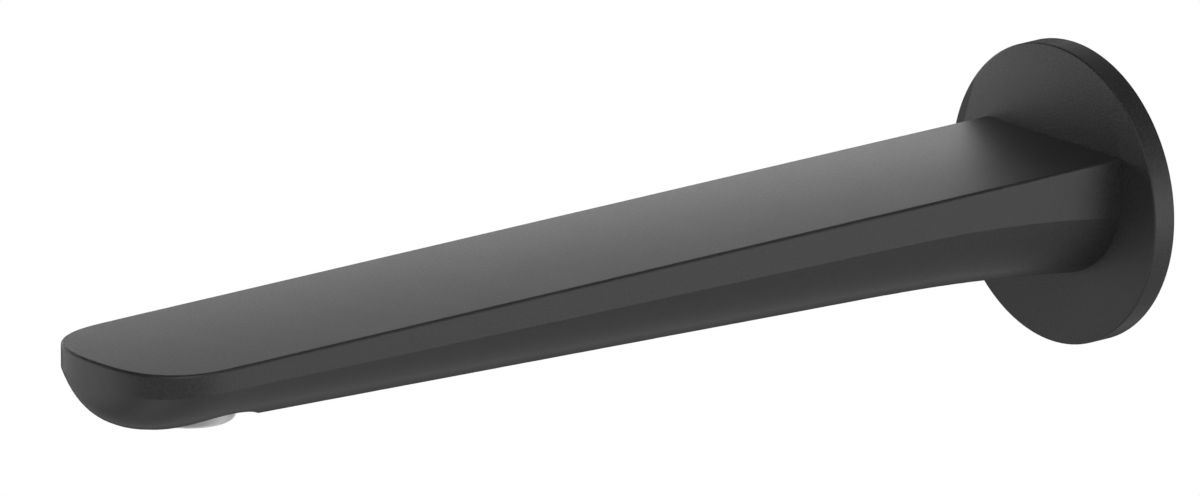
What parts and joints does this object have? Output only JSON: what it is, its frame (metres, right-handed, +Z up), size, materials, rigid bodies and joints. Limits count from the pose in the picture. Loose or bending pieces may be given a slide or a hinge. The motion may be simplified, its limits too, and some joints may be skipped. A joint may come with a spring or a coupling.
{
  "type": "bath spout",
  "caption": "Wall-mounted bath spout: flat-topped arm with a creased hull underneath, rounded tip, downward outlet with a concealed aerator, and a round wall flange.",
  "frame": {"origin": "centre of the round wall flange, on the wall plane and on the inlet thread's axis", "axes": "+Y into the wall along the inlet thread, the spout reaches along -Y, +Z up, +X across the flat top"},
  "size_m": [0.06, 0.26, 0.06],
  "materials": {
    "spout_body": "matte black powder coat over cast brass",
    "wall_flange": "matte black powder coat over turned brass",
    "flange_gasket": "closed-cell foam",
    "wall_nipple": "turned",
    "spigot_o_ring_front": "smooth",
    "spigot_o_ring_rear": "smooth",
    "locking_grub_screw": "stainless",
    "aerator_housing": "moulded light grey",
    "aerator_washer": "smooth",
    "outlet_grille": "moulded",
    "lower_screen": "mesh",
    "upper_screen": "mesh",
    "aerator_diffuser": "moulded",
    "flow_regulator": "moulded",
    "regulator_o_ring": "smooth",
    "dome_filter": "moulded"
  },
  "bodies": {
    "root": {"spout_body": "spout_body", "wall_flange": "wall_flange", "flange_gasket": "flange_gasket", "wall_nipple": "wall_nipple", "spigot_o_ring_front": "spigot_o_ring_front", "spigot_o_ring_rear": "spigot_o_ring_rear", "locking_grub_screw": "locking_grub_screw", "aerator_housing": "aerator_housing", "aerator_washer": "aerator_washer", "outlet_grille": "outlet_grille", "lower_screen": "lower_screen", "upper_screen": "upper_screen", "aerator_diffuser": "aerator_diffuser", "flow_regulator": "flow_regulator", "regulator_o_ring": "regulator_o_ring", "dome_filter": "dome_filter"}
  },
  "joints": []
}
